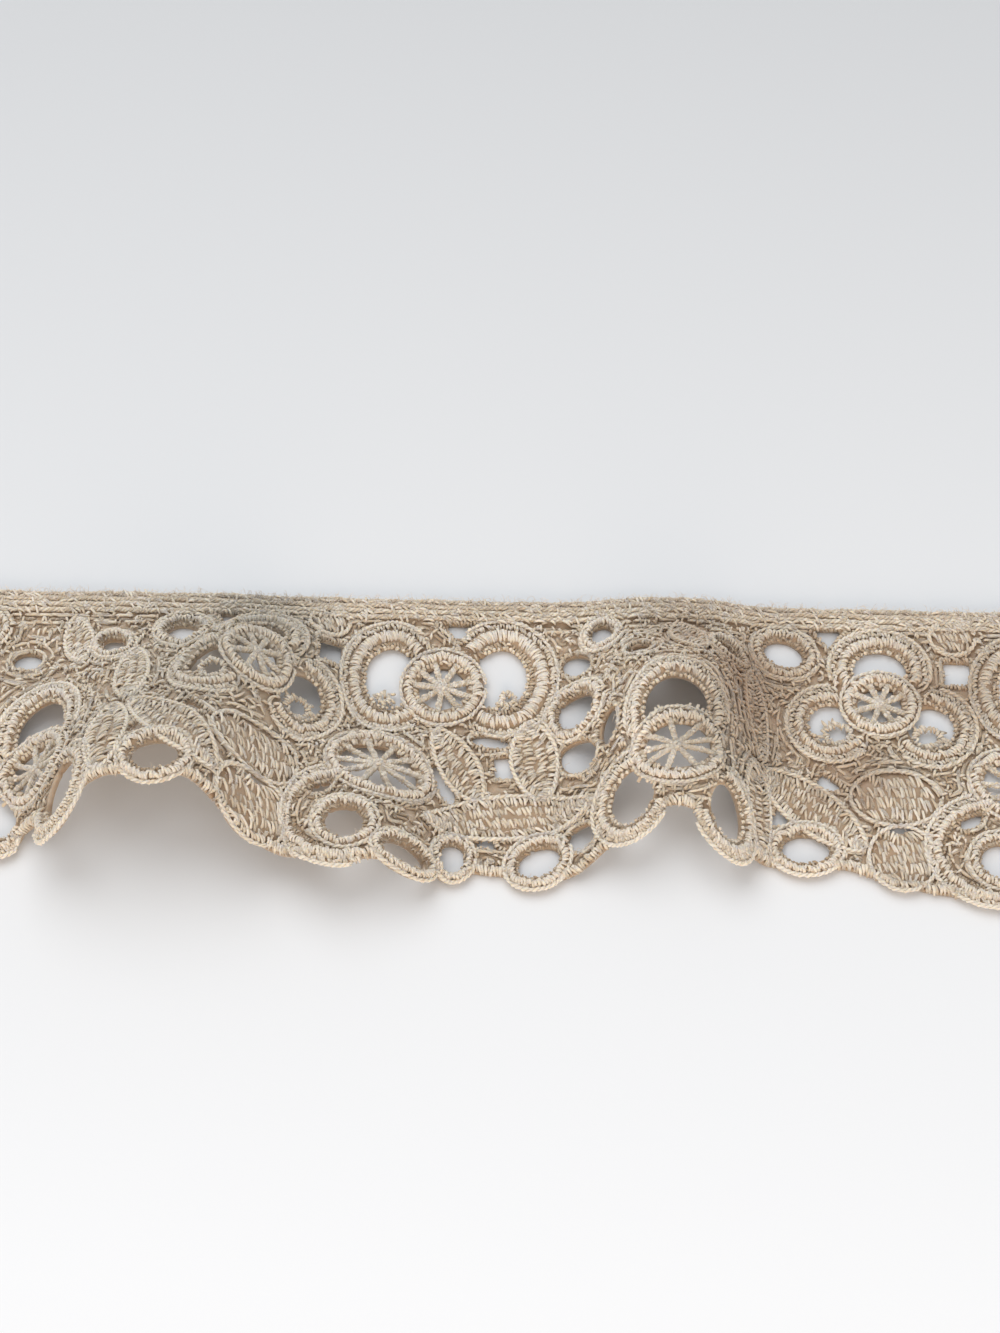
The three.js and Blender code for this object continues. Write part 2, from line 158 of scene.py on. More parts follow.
# Further gaps cut through: centre, half sizes, turn, corners (0 for an oval)
GAPS = table(
    "u v a b turn corners",
    (19.6, 10.9, 2.4, 1.7, 20, 0),
    (20, 26.3, 3.1, 2.2, 35, 0),
    (25, 24.6, 1.4, 2.6, 10, 0),
    (9.4, 27, 2.4, 2.4, 40, 4),
    (7, 23, 2.6, 0.9, 8, 0),
    (0.6, 30, 1.2, 3.3, -24, 0),
    (6.8, 38.8, 2.4, 1.8, 30, 3),
    (20.4, 38.8, 2.2, 1.7, 0, 0),
    (81.2, 10.2, 2.7, 2.7, 45, 4),
    (63, 4.5, 2.2, 2.8, 90, 3),
    (62, 28.5, 3.4, 1.6, 22, 3),
    (55, 34, 2.8, 2.2, 150, 3),
    (71.6, 35.3, 2.6, 0.7, 0, 0),
    (2.2, 4.8, 1.8, 3.6, 90, 3),
    (-17.2, 33.2, 2, 1.6, -40, 0),
    (30.8, 12, 2.2, 1.5, 0, 0),
)

# Lower edge of the ground between the scallops, as u and v along one repeat
EDGE = [
    (0, 41.8), (5.4, 43.4), (9.6, 43.6), (14, 44.4), (19, 43.8), (24, 42), (30, 40.4), (36, 39.2),
    (41, 41.4), (48, 41.6), (52, 41), (58, 41.6), (64, 41.2), (68, 42.8), (75, 44.6), (82, 45.6),
    (88, 45.4), (93, 44.6),
]

print(len(WHEELS), "wheels,", len(RINGS), "rings,", len(PETALS), "petals in a repeat")

# %% [markdown]
# ## The folds
# A trim that has been bent keeps some of the bend: its heading lies flat and its
# scalloped side stands up in soft waves. A wave is a slope that starts near the
# heading, eases and turns down again, strongest at the crest. The slopes are summed
# step by step along v once, on a fine grid, and any point of the flat trim is then
# looked up there. Cloth could be simulated instead, but these waves have to be the
# same ones as in the CAD solid.

# %% The grid of the folds
GRID_STEP, GRID_DEPTH = 0.25, 56.0
BEND = 2.5  # a slope changes over this much to either side

def side(fold, x):
    """From -1 at the fold's left reach to 1 at its right one."""
    reach = np.where(x < fold["x"], fold["left"], fold["right"])
    return np.clip((x - fold["x"]) / reach, -1, 1)

def share_of(fold, x):
    """How much of a fold is felt at x: a broad top, and nothing beyond its reach."""
    return np.cos(np.pi * np.abs(side(fold, x)) ** 1.5 / 2) ** 2

def flat_u(x):
    """u of the flat trim at x, with the cloth that the folds take up."""
    u = np.array(x, float)
    for fold in FOLDS:
        s = side(fold, x)
        u = u + fold["take"] * (s - np.sin(2 * np.pi * s) / (2 * np.pi)) / 2
    return u

def smooth(low, high, t):
    """From 0 at low to 1 at high, without a corner."""
    s = np.clip((t - low) / (high - low), 0, 1)
    return s * s * (3 - 2 * s)

def past(fold, change, v):
    """0 before a change of the fold's slope and 1 after it."""
    return smooth(fold[change] - BEND, fold[change] + BEND, v)

def slope(fold, v):
    rise = fold["up"] * smooth(fold["start"] - 1, fold["start"] + 4, v)
    level = (fold["top"] - fold["up"]) * past(fold, "ease", v)
    fall = (fold["down"] - fold["top"]) * past(fold, "turn", v)
    last = -fold["down"] * past(fold, "rest", v)
    return np.radians(rise + level + fall + last)

def fold_grid():
    x = np.arange(-LENGTH / 2 - 2, LENGTH / 2 + 2.01, GRID_STEP)
    v = np.arange(0, GRID_DEPTH + 0.01, GRID_STEP)
    shares = [share_of(fold, x) for fold in FOLDS]
    push = sum(f["push"] * s for f, s in zip(FOLDS, shares))
    places = np.zeros((len(x), len(v), 3))
    y, z = np.full(len(x), HEADING_V), np.zeros(len(x))
    for j, at in enumerate(v):
        lean = sum(f["lean"] * s * at / DEPTH for f, s in zip(FOLDS, shares))
        places[:, j] = np.stack([x + lean, y + push, z], 1)
        angle = sum(slope(f, at + GRID_STEP / 2) * s for f, s in zip(FOLDS, shares))
        z = z + np.sin(angle) * GRID_STEP
        y = y - np.where(z > 0, np.cos(angle), 1) * GRID_STEP
        z = np.maximum(z, 0)
    normals = np.cross(np.gradient(places, axis=1), np.gradient(places, axis=0))
    normals /= np.linalg.norm(normals, axis=2, keepdims=True)
    return flat_u(x), places, normals

fold_u, fold_places, fold_normals = fold_grid()
U0, U1 = (float(u) for u in flat_u(np.array([-LENGTH / 2, LENGTH / 2])))
print("flat length", round(U1 - U0, 1), "mm; highest fold", round(fold_places[..., 2].max(), 1), "mm")

# %% From flat to folded
def looked_up(grid, i, j):
    """The grid's value between its points, by its four corners."""
    i0 = np.clip(i.astype(int), 0, grid.shape[0] - 2)
    j0 = np.clip(j.astype(int), 0, grid.shape[1] - 2)
    a, b = (i - i0)[..., None], (j - j0)[..., None]
    near = grid[i0, j0] * (1 - b) + grid[i0, j0 + 1] * b
    far = grid[i0 + 1, j0] * (1 - b) + grid[i0 + 1, j0 + 1] * b
    return near * (1 - a) + far * a

def folded(u, v, h):
    """Points of the flat trim, h above its back, as (places, normals) in metres."""
    i = np.interp(u, fold_u, np.arange(len(fold_u)))
    j = np.maximum(v, 0) / GRID_STEP
    place, normal = looked_up(fold_places, i, j), looked_up(fold_normals, i, j)
    normal = normal / np.linalg.norm(normal, axis=-1, keepdims=True)
    place = place + normal * np.asarray(h)[..., None]
    place[..., 1] -= np.minimum(v, 0)
    place[..., 2] = np.maximum(place[..., 2], 0)
    return place * MM, normal

middle = folded(np.zeros(1), np.full(1, HEADING_V), np.zeros(1))[0][0]
print("middle of the heading:", middle.round(5))

# %% [markdown]
# ## The drawing of one repeat
# Three fields are worked out over one repeat: how far a point is inside the cloth, how
# high the padding stands there, and how far it is from the nearest motif. With the
# first two the ground, its gaps and its relief are one mesh, and the third guides the
# threads between the motifs. Each motif gives a distance, and the smallest or largest
# wins, as when shapes are joined or cut.

# %% Distances to the motifs
DRAW_STEP = 0.2
draw_u = np.arange(0, REPEAT, DRAW_STEP)
draw_v = np.arange(-1.0, 54.0, DRAW_STEP)
DU, DV = np.meshgrid(draw_u, draw_v, indexing="ij")

def along_from(u):
    """How far along the trim each drawn point lies from u, in the nearest repeat."""
    return (DU - u + REPEAT / 2) % REPEAT - REPEAT / 2

def offset(motif):
    """Where each drawn point lies from a motif's centre, in its turned axes."""
    du = along_from(motif["u"])
    dv = DV - motif["v"]
    k = math.radians(motif.get("turn", 0))
    return du * math.cos(k) + dv * math.sin(k), dv * math.cos(k) - du * math.sin(k)

def inside_oval(motif, inset=0.0):
    """About how far each drawn point is inside an oval, negative outside."""
    x, y = offset(motif)
    a, b = motif["a"] - inset, motif["b"] - inset
    k = np.hypot(x / a, y / b)
    return -k * (k - 1) / np.maximum(np.hypot(x / a ** 2, y / b ** 2), 1e-6)

def inside_corners(motif):
    x, y = offset(motif)
    n = motif["corners"]
    t = 2 * np.pi * (np.arange(n) + 0.5) / n
    sides = [x / motif["a"] * math.cos(k) + y / motif["b"] * math.sin(k) for k in t]
    return (math.cos(math.pi / n) - np.max(sides, axis=0)) * min(motif["a"], motif["b"])

def arc_line(petal, grow, count=80, short=0):
    """A line round a petal, so far outside the inner edge of its band."""
    t = np.radians(np.linspace(petal["start"] + short, petal["end"] - short, count))
    return np.stack([petal["u"] + (petal["a"] + grow) * np.cos(t),
                     petal["v"] + (petal["b"] + grow) * np.sin(t)], 1)

def from_line(line):
    """How far each drawn point is from a line of points."""
    best = np.full(DU.shape, 99.0)
    for u, v in line:
        best = np.minimum(best, np.hypot(along_from(u), DV - v))
    return best

def inside_leaf(leaf):
    base, tip = np.array(leaf["base"]), np.array(leaf["tip"])
    length = np.linalg.norm(tip - base)
    du = along_from(base[0])
    dv = DV - base[1]
    e = (tip - base) / length
    along, aside = (du * e[0] + dv * e[1]) / length, np.abs(dv * e[0] - du * e[1])
    half = leaf["width"] / 2 * np.sin(np.pi * np.clip(along, 0, 1)) ** 0.6
    beyond = np.maximum(np.maximum(-along, along - 1), 0) * length
    return np.where(beyond > 0, -np.hypot(beyond, aside), half - aside)

# %% The edge between the scallops
def edge_of(u):
    """v of the ground's scalloped edge at u, counted from the first wheel."""
    points = np.array([(u0 + n * REPEAT, v0) for n in (-1, 0, 1) for u0, v0 in EDGE])
    fine = np.linspace(points[0, 0], points[-1, 0], 900)
    rough = np.interp(fine, points[:, 0], points[:, 1])
    kernel = np.hanning(21) / np.hanning(21).sum()
    return np.interp(np.mod(u, REPEAT), fine, np.convolve(rough, kernel, mode="same"))

# %% The three fields
# Narrow slots under the heading, too narrow to be cut through: from u to u
SLOTS = [(8, 12), (13, 22.5), (47, 51), (53, 58), (61.5, 65.5), (67, 72.5)]
SLOT_BELOW, SLOT_HALF, SLOT_HEIGHT = 0.45, 0.32, 0.35
BACK = 0.05  # how far the cloth reaches behind v = 0

def dome(inside, width, height, foot):
    """The height of padded satin: round across a band of that width."""
    across = np.clip(1 - inside / (width / 2), 0, 1)
    return np.where(inside > 0, foot + (height - foot) * np.sqrt(1 - 0.96 * across ** 2), 0)

def drawing():
    """(inside the cloth, height, from the nearest motif) on the drawn grid."""
    cloth = np.minimum(DV + BACK, edge_of(DU) - DV)
    height = np.full(DU.shape, GROUND)
    beside = np.minimum(np.abs(DV - HEADING_WIDTH), np.abs(edge_of(DU) - DV))
    for inside in [inside_leaf(leaf) for leaf in LEAVES] + [inside_oval(blob) for blob in BLOBS]:
        cloth = np.maximum(cloth, inside)
        height = np.maximum(height, np.where(inside > 0, GROUND + 0.4 * np.tanh(inside), 0))
        beside = np.minimum(beside, np.maximum(-inside, 0))
    for gap in GAPS:
        inside = inside_corners(gap) if gap["corners"] else inside_oval(gap)
        cloth = np.minimum(cloth, -inside)
        beside = np.minimum(beside, np.abs(inside))
    for petal in PETALS:
        if petal["open"]:
            cloth = np.minimum(cloth, -inside_oval(petal))
    for petal in PETALS:
        inside = petal["band"] / 2 - from_line(arc_line(petal, petal["band"] / 2))
        cloth = np.maximum(cloth, inside)
        wide = PETAL_CREST * petal["band"]
        crest = wide / 2 - from_line(arc_line(petal, PETAL_MIDDLE * petal["band"]))
        height = np.maximum(height, dome(crest, wide, PADDING, GROUND))
        beside = np.minimum(beside, np.maximum(-inside, 0))
    for ring in WHEELS + RINGS:
        outer, inner = inside_oval(ring), inside_oval(ring, ring["band"])
        inside = np.minimum(outer, -inner)
        cloth = np.maximum(np.minimum(cloth, -inner), inside)
        wide = RIM_CREST * ring["band"]
        crest = wide / 2 - np.abs(outer - RIM_MIDDLE * ring["band"])
        over = np.maximum(dome(crest, wide, PADDING, GROUND), GROUND)
        height = np.where(inside > 0, over, height)
        beside = np.minimum(beside, np.maximum(-inside, 0))
    for start, end in SLOTS:
        across = SLOT_HALF - np.abs(DV - HEADING_WIDTH - SLOT_BELOW)
        slot = np.minimum(np.minimum(DU - start, end - DU), across)
        height = np.where(slot > 0, np.minimum(height, SLOT_HEIGHT), height)
    heading = np.minimum(DV + BACK, HEADING_WIDTH - DV)
    cloth = np.maximum(cloth, heading)
    height = np.where(heading > 0, np.maximum(height, HEADING_HEIGHT), height)
    return np.stack([cloth, height, beside], 2)

drawn = drawing()
share = float((drawn[..., 0] > 0).mean() * (draw_v[-1] - draw_v[0]) / DEPTH)
print("cloth covers", round(100 * share), "% of a repeat", DEPTH, "mm deep")

# %% Reading the drawing
wrapped = np.concatenate([drawn, drawn[:2]], 0)

def read(u, v):
    """The three fields at points of the flat trim."""
    i = np.mod(u - FIRST_WHEEL_U, REPEAT) / DRAW_STEP
    j = np.clip((v - draw_v[0]) / DRAW_STEP, 0, len(draw_v) - 1.01)
    return np.moveaxis(looked_up(wrapped, i, j), -1, 0)

# %% [markdown]
# ## The cotton
# The thread is undyed cotton, ecru, a little darker and browner where the trim has
# aged. It is matt with a faint bloom from its fibres, so the material is rough with
# some sheen, and light goes a little way into it. Every stitch carries its own tone as
# an attribute, because neighbouring stitches catch the light differently, and painted
# highlight and shade are added to it: higher points are paler, low places darker. Slow
# noise adds paler and darker places, and wide soft spots broken up by noise are stained
# brown, or painted grey as shade where a fold turns away from the light.

# %% Colours
THREAD_PALE = (0.93, 0.79, 0.635, 1)
THREAD_MID = (0.63, 0.51, 0.385, 1)
THREAD_DARK = (0.42, 0.305, 0.205, 1)
STAIN = (0.38, 0.27, 0.19, 1)
SHADE_GREY = (0.35, 0.315, 0.26, 1)

# Where the trim is stained, and where grey painted shade lies on the folds that turn from the light: x, y
# in millimetres and how far it reaches
STAINED = [(35, -13, 17), (64, -9, 12), (27, -3, 9), (50, -26, 9)]
GREY_SHADE_PLACES = [(-36, -9, 20), (-46, -28, 14), (30, -22, 12)]

def node(tree, kind, *plugs, **values):
    """A new node, its settings first. Sockets are set or linked in order or by name."""
    made = tree.nodes.new(kind)
    for name, value in [*values.items(), *enumerate(plugs)]:
        if hasattr(made, str(name)):
            setattr(made, name, value)
            continue
        socket = made.inputs[name.replace("_", " ") if name in values else name]
        if isinstance(value, bpy.types.NodeSocket):
            tree.links.new(value, socket)
        else:
            socket.default_value = value
    return made

def places_mask(tree, at, noise, places, most):
    """Strongest in the middle of any of the places and 0 outside them, broken up by noise."""
    total = 0.0
    for x, y, reach in places:
        far = node(tree, "ShaderNodeVectorMath", at, (x * MM, y * MM, 0.004), operation="DISTANCE")
        near = node(tree, "ShaderNodeMapRange", far.outputs["Value"], From_Min=reach * MM,
                    From_Max=0.2 * reach * MM, To_Max=1.6 * most)
        total = node(tree, "ShaderNodeMath", total, near.outputs["Result"], operation="MAXIMUM").outputs[0]
    return node(tree, "ShaderNodeMath", total, noise, operation="MULTIPLY", use_clamp=True).outputs[0]

def new_material(name):
    material = bpy.data.materials.new(name)
    material.use_nodes = True
    return material, material.node_tree, material.node_tree.nodes["Principled BSDF"]

def cotton(name, pale, bump, stain_and_shade):
    """Ecru cotton: tone by stitch, slow pale places, stains, grey painted shade on shaded folds, fibre
    bump.
    """
    material, tree, shader = new_material(name)
    shader.inputs["Roughness"].default_value = 0.78
    shader.inputs["Specular IOR Level"].default_value = 0.3
    shader.inputs["Sheen Weight"].default_value = 0.25
    shader.inputs["Sheen Roughness"].default_value = 0.5
    shader.inputs["Subsurface Weight"].default_value = 0.5
    shader.inputs["Subsurface Radius"].default_value = (1.0, 0.72, 0.45)
    shader.inputs["Subsurface Scale"].default_value = 0.001
    place = node(tree, "ShaderNodeTexCoord").outputs["Object"]
    tone = node(tree, "ShaderNodeAttribute", attribute_name="tone")
    fine = node(tree, "ShaderNodeTexNoise", place, Scale=900.0, Detail=3.0)
    slow = node(tree, "ShaderNodeTexNoise", place, Scale=55.0, Detail=3.0, Roughness=0.6)
    spots = node(tree, "ShaderNodeTexNoise", place, Scale=38.0, Detail=5.0, Roughness=0.65)
    fibre = node(tree, "ShaderNodeTexNoise", place, Scale=2600.0, Detail=2.0)
    mixed = node(tree, "ShaderNodeMath", fine.outputs["Fac"], 0.35, tone.outputs["Fac"],
                 operation="MULTIPLY_ADD")
    ramp = node(tree, "ShaderNodeValToRGB", mixed.outputs[0])
    ramp.color_ramp.elements[0].position = 0.15
    ramp.color_ramp.elements[0].color = THREAD_DARK
    ramp.color_ramp.elements[1].position = 0.95
    ramp.color_ramp.elements[1].color = pale
    ramp.color_ramp.elements.new(0.5).color = THREAD_MID
    slow_range = node(tree, "ShaderNodeMapRange", slow.outputs["Fac"], From_Min=0.35, From_Max=0.7,
                      To_Min=0.86, To_Max=1.08)
    shade = node(tree, "ShaderNodeVectorMath", ramp.outputs["Color"], operation="SCALE",
                 Scale=slow_range.outputs["Result"])
    colour = shade.outputs[0]
    # Grey painted shade on the shaded folds first, then the real brown stains
    for places, stain_and_shade_tint in ((GREY_SHADE_PLACES, SHADE_GREY), (STAINED, STAIN)):
        mask = places_mask(tree, place, spots.outputs["Fac"], places, stain_and_shade)
        stain_and_shade_mix = node(tree, "ShaderNodeMix", mask, data_type="RGBA")
        tree.links.new(colour, stain_and_shade_mix.inputs[6])
        stain_and_shade_mix.inputs[7].default_value = stain_and_shade_tint
        colour = stain_and_shade_mix.outputs[2]
    tree.links.new(colour, shader.inputs["Base Color"])
    relief = node(tree, "ShaderNodeBump", Strength=bump, Distance=0.0001, Height=fibre.outputs["Fac"])
    tree.links.new(relief.outputs["Normal"], shader.inputs["Normal"])
    return material

satin_cotton = cotton("satin cotton", THREAD_PALE, bump=0.7, stain_and_shade=0.8)
ground_cotton = cotton("ground cotton", THREAD_MID, bump=0.9, stain_and_shade=1.0)
cord_cotton = cotton("cord cotton", THREAD_PALE, bump=0.7, stain_and_shade=0.9)
print("cottons:", satin_cotton.name, ground_cotton.name, cord_cotton.name)

# %% [markdown]
# ## The ground
# The ground is the whole trim as one thin closed sheet: a flat grid whose points near
# an edge of the cloth are drawn onto that edge, with the cells outside left out. It
# is extruded to a sheet, its upper side takes the padding's height, and then it is
# folded. It stands for the CAD solid, and the stitches lie on it.

# %% The ground's flat grid
CELL = 0.56

def inside_cloth(u, v):
    """How far points are inside the cloth between its two cut ends."""
    return np.minimum(read(u, v)[0], np.minimum(u - U0, U1 - u))

def onto_edge(u, v, e=0.05):
    """Points within most of a cell from the cloth's edge, moved onto it."""
    most = CELL * 0.6
    for _ in range(2):
        inside = inside_cloth(u, v)
        gu = (inside_cloth(u + e, v) - inside) / e
        gv = (inside_cloth(u, v + e) - inside) / e
        size = np.maximum(np.hypot(gu, gv), 0.3)
        step = np.where(np.abs(inside) < CELL * 0.62, -inside / size ** 2, 0)
        u = u + np.clip(step * gu, -most, most)
        v = v + np.clip(step * gv, -most, most)
    return u, v

def mesh_from(bm, name):
    mesh = bpy.data.meshes.new(name)
    bm.to_mesh(mesh)
    bm.free()
    return mesh

def new_object(name, data):
    made = bpy.data.objects.new(name, data)
    bpy.context.scene.collection.objects.link(made)
    return made

def ground_sheet():
    """The flat sheet, from z = 0 to z = 1, with its gaps and its scalloped edge."""
    long, deep, behind = U1 - U0 + 2 * CELL, 54.0, 1.0
    bm = bmesh.new()
    bmesh.ops.create_grid(bm, x_segments=round(long / CELL), y_segments=round(deep / CELL), size=0.5)
    flat = np.array([p.co for p in bm.verts])
    u = (U0 + U1) / 2 + flat[:, 0] * long
    v = deep / 2 - behind - flat[:, 1] * deep
    u, v = onto_edge(u, v)
    for point, pu, pv in zip(bm.verts, u, v):
        point.co = (pu, -pv, 0)
    kept = inside_cloth(u, v) > -0.06
    outside = [f for f in bm.faces if not all(kept[p.index] for p in f.verts)]
    bmesh.ops.delete(bm, geom=outside, context="FACES")
    loose = [p for p in bm.verts if not p.link_faces]
    bmesh.ops.delete(bm, geom=loose, context="VERTS")
    made = bmesh.ops.extrude_face_region(bm, geom=bm.faces[:])
    for item in made["geom"]:
        if isinstance(item, bmesh.types.BMVert):
            item.co.z = 1.0
    bmesh.ops.recalc_face_normals(bm, faces=bm.faces[:])
    return mesh_from(bm, "lace ground")

def piece(name, mesh, material):
    """A piece of the trim: it rides on the one body and has the one material slot."""
    made = new_object(name, mesh)
    mesh.materials.append(material)
    mesh.shade_smooth()
    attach(made, "root")
    return made

# %% Fold the ground
def ripple(u, v):
    """Small unevenness of the stitched ground, in mm."""
    return (0.05 * np.sin(2.1 * u + 1.7 * np.sin(1.3 * v)) + 0.05 * np.sin(2.9 * v + 2.0 * np.sin(1.1 * u))
            + 0.03 * np.sin(5.3 * u - 4.1 * v))

sheet_mesh = ground_sheet()
flat = np.empty((len(sheet_mesh.vertices), 3))
sheet_mesh.vertices.foreach_get("co", flat.ravel())
u, v = flat[:, 0], -flat[:, 1]
_, high, beside = read(u, v)
place, _ = folded(u, v, np.where(flat[:, 2] > 0.5, high + ripple(u, v), 0.0))
sheet_mesh.vertices.foreach_set("co", place.ravel())

# Painted shade: the ground is darker beside the motifs and darkest in the slots
tone = sheet_mesh.attributes.new("tone", "FLOAT", "POINT")
painted_slot_shade = smooth(0.65, 0.4, high)
tone.data.foreach_set("value", -0.12 + 0.3 * smooth(0.1, 1.6, beside) - 0.5 * painted_slot_shade)
sheet_mesh.update()
ground = piece("lace_ground", sheet_mesh, ground_cotton)
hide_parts("lace_trim")
print("ground:", len(sheet_mesh.polygons), "faces")

# %% [markdown]
# ## Threads
# Every stitch, cord and fibre is a thin tube. A tube follows its path over the flat
# trim, and it gets its width across the cloth and its thickness away from it after
# the folding, so that it keeps its shape on a fold. Thousands of tubes of the same
# number of points are made as one mesh, with three or four sides each, which smooth
# shading rounds off. Stitches of one motif are drawn once and laid out in every repeat.

# %% Tubes along paths
FULLER = 1.2  # a tube of few sides is made thicker, to look as full as a round one

def triangles_of(mesh):
    return len(mesh.loops) - 2 * len(mesh.polygons)

def tubes(name, paths, wide, thick, tones, material, taper=0.45, sides=4):
    """One piece of tubes: paths is (tubes, points, u v h) in mm, wide and thick its radii."""
    count, steps = paths.shape[:2]
    place, normal = folded(paths[..., 0], paths[..., 1], paths[..., 2])
    tangent = np.gradient(place, axis=1)
    tangent /= np.maximum(np.linalg.norm(tangent, axis=2, keepdims=True), 1e-12)
    across = np.cross(tangent, normal)
    across /= np.maximum(np.linalg.norm(across, axis=2, keepdims=True), 1e-9)
    up = np.cross(across, tangent)
    uneven = 1 + rng.normal(0, 0.14, (count, steps, 1)).clip(-0.3, 0.3)
    uneven[:, [0, -1]] *= taper
    wide, thick = wide * uneven * MM, thick * uneven * MM
    ring = []
    for k in range(sides):
        t = 2 * math.pi * (k + 0.5) / sides
        ring.append(place + across * wide * math.cos(t) * FULLER + up * thick * math.sin(t) * FULLER)
    points = np.stack(ring, 2).reshape(-1, 3)
    points[:, 2] = np.maximum(points[:, 2], 0)
    corner = np.arange(count * steps * sides).reshape(count, steps, sides)
    after = np.roll(corner, -1, axis=2)
    walls = np.stack([corner[:, :-1], after[:, :-1], after[:, 1:], corner[:, 1:]], 3).reshape(-1, 4)
    faces = walls.tolist() + corner[:, 0, ::-1].tolist() + corner[:, -1].tolist()
    mesh = bpy.data.meshes.new(name)
    mesh.from_pydata(points, [], faces)
    tone = mesh.attributes.new("tone", "FLOAT", "POINT")
    # Painted highlight and shade: a thread is paler where it stands high and darker where it lies low
    painted_light_by_height = 0.4 * (paths[..., 2] - 1.2)
    tone.data.foreach_set("value", np.repeat((tones[:, None] + painted_light_by_height).ravel(), sides))
    piece(name, mesh, material)
    print(name, count, "tubes,", triangles_of(mesh), "triangles")

def tones_for(paths, low, high):
    return rng.uniform(low, high, len(paths))

def in_every_repeat(paths):
    """The paths of one repeat, laid out along the trim, without those cut off."""
    shifts = [FIRST_WHEEL_U + n * REPEAT for n in REPEATS]
    laid = np.concatenate([paths + [shift, 0, 0] for shift in shifts])
    whole = (laid[..., 0] > U0 + 0.1).all(1) & (laid[..., 0] < U1 - 0.1).all(1)
    return laid[whole]

def sewn(name, motifs, wide, thick, low, high, material, **more):
    """The stitches of one repeat's motifs as a piece, with tones from low to high."""
    paths = in_every_repeat(np.concatenate(motifs))
    tubes(name, paths, wide, thick, tones_for(paths, low, high), material, **more)

# %% [markdown]
# ## Satin stitch
# In satin stitch the thread goes straight across the band, over the padding, and down
# at the other side, stitch beside stitch. Each one leans a little, and no two are
# equal: that unevenness is what makes it look sewn. The crest takes up only a part
# of a band, painted pale as a highlight. Its inner side lies low, with short stitches
# painted darker as shade where they dip into the opening, and a petal has a third row
# round its outside.

# %% Stitches across a line
def lengths_along(line):
    return np.concatenate([[0], np.cumsum(np.linalg.norm(np.diff(line, axis=0), axis=1))])

def points_at(at, lengths, line):
    return np.stack([np.interp(at, lengths, line[:, k]) for k in (0, 1)], 1)

def evenly(line, pitch, closed):
    """Points and directions along a line, one pitch apart."""
    if closed:
        line = np.concatenate([line, line[:1]])
    lengths = lengths_along(line)
    count = max(int(lengths[-1] / pitch), 2)
    at = (np.arange(count) + 0.5) / count * lengths[-1]
    at = at + rng.normal(0, 0.16 * pitch, count)
    way = points_at(at + 0.2, lengths, line) - points_at(at - 0.2, lengths, line)
    way = way / np.maximum(np.linalg.norm(way, axis=1, keepdims=True), 1e-6)
    return points_at(at, lengths, line), way

def left_of(way):
    return np.stack([-way[..., 1], way[..., 0]], -1)

def off_line(centre, way, aside, ahead, high):
    """Paths from points of a line, so far aside of it and ahead along it, so high."""
    flat = centre[:, None] + left_of(way)[:, None] * aside[..., None] + way[:, None] * ahead[..., None]
    return np.concatenate([flat, high[..., None]], 2)

def satin(line, width, top, foot=0.3, pitch=STITCH, closed=False, lean=0.2, points=6):
    """Stitches over a padded band along a line of the flat trim."""
    centre, way = evenly(line, pitch, closed)
    count = len(centre)
    q = np.linspace(-1, 1, points)[None, :]
    wide = width / 2 * (1.0 + rng.normal(0, 0.1, (count, 1)))
    shift = rng.normal(0, 0.12, (count, 1))
    slant = (lean + rng.normal(0, 0.2, (count, 1))) * q
    over = np.sqrt(1 - 0.97 * np.abs(q) ** 2.5)
    high = foot + (top + rng.normal(0, 0.07, (count, 1)) - foot) * over
    return off_line(centre, way, q * wide + shift, slant, high)

def turned(motif, x, y):
    """Points of the flat trim, given in a motif's own turned axes."""
    k = math.radians(motif.get("turn", 0))
    return np.stack([motif["u"] + x * math.cos(k) - y * math.sin(k),
                     motif["v"] + x * math.sin(k) + y * math.cos(k)], -1)

def oval_line(oval, inset, count=72, start=0.0, end=360.0):
    whole = end - start >= 360
    t = np.radians(np.linspace(start, end, count, endpoint=not whole))
    return turned(oval, (oval["a"] - inset) * np.cos(t), (oval["b"] - inset) * np.sin(t))

# %% Rims, rings and petals
CREST_PITCH = 0.37
INNER = dict(top=1.0, foot=0.65, pitch=0.45, points=4)
OUTER = dict(top=1.25, foot=0.5, pitch=0.42, points=5)

def around(ring, middle, share, **kind):
    """A row of satin round a ring: where in its band, and for how much of the band."""
    return satin(oval_line(ring, middle * ring["band"]), share * ring["band"], closed=True, **kind)

def along(petal, middle, share, further, **kind):
    """A row of satin along a petal, a few degrees further at both ends."""
    return satin(arc_line(petal, middle * petal["band"], short=-further), share * petal["band"], **kind)

rims = [around(r, RIM_MIDDLE, RIM_CREST, top=SATIN, pitch=CREST_PITCH) for r in WHEELS + RINGS]
petals = [along(p, PETAL_MIDDLE, PETAL_CREST, 9, top=SATIN - 0.05, pitch=CREST_PITCH) for p in PETALS]
inner = [around(r, 0.82, 0.46, **INNER) for r in RINGS]
inner += [along(p, 0.14, 0.36, 6, **INNER) for p in PETALS]
outer = [satin(arc_line(p, p["band"] + 0.05, short=-5), 0.95, **OUTER) for p in PETALS]

# For each: half the thread's width and thickness in mm, its darkest and its palest tone
sewn("satin_rims", rims, 0.21, 0.11, 0.4, 0.95, satin_cotton)
sewn("satin_petals", petals, 0.21, 0.11, 0.4, 0.9, satin_cotton)
# The inner rows' low tones are painted shade on the band's slope into the opening
sewn("inner_sides", inner, 0.19, 0.12, 0.0, 0.4, satin_cotton)
sewn("petal_edges", outer, 0.19, 0.11, 0.35, 0.9, satin_cotton)

# %% [markdown]
# The inner side of the rims, and of the petals next to them, ends in short free loops
# that stand into the open middle like teeth.

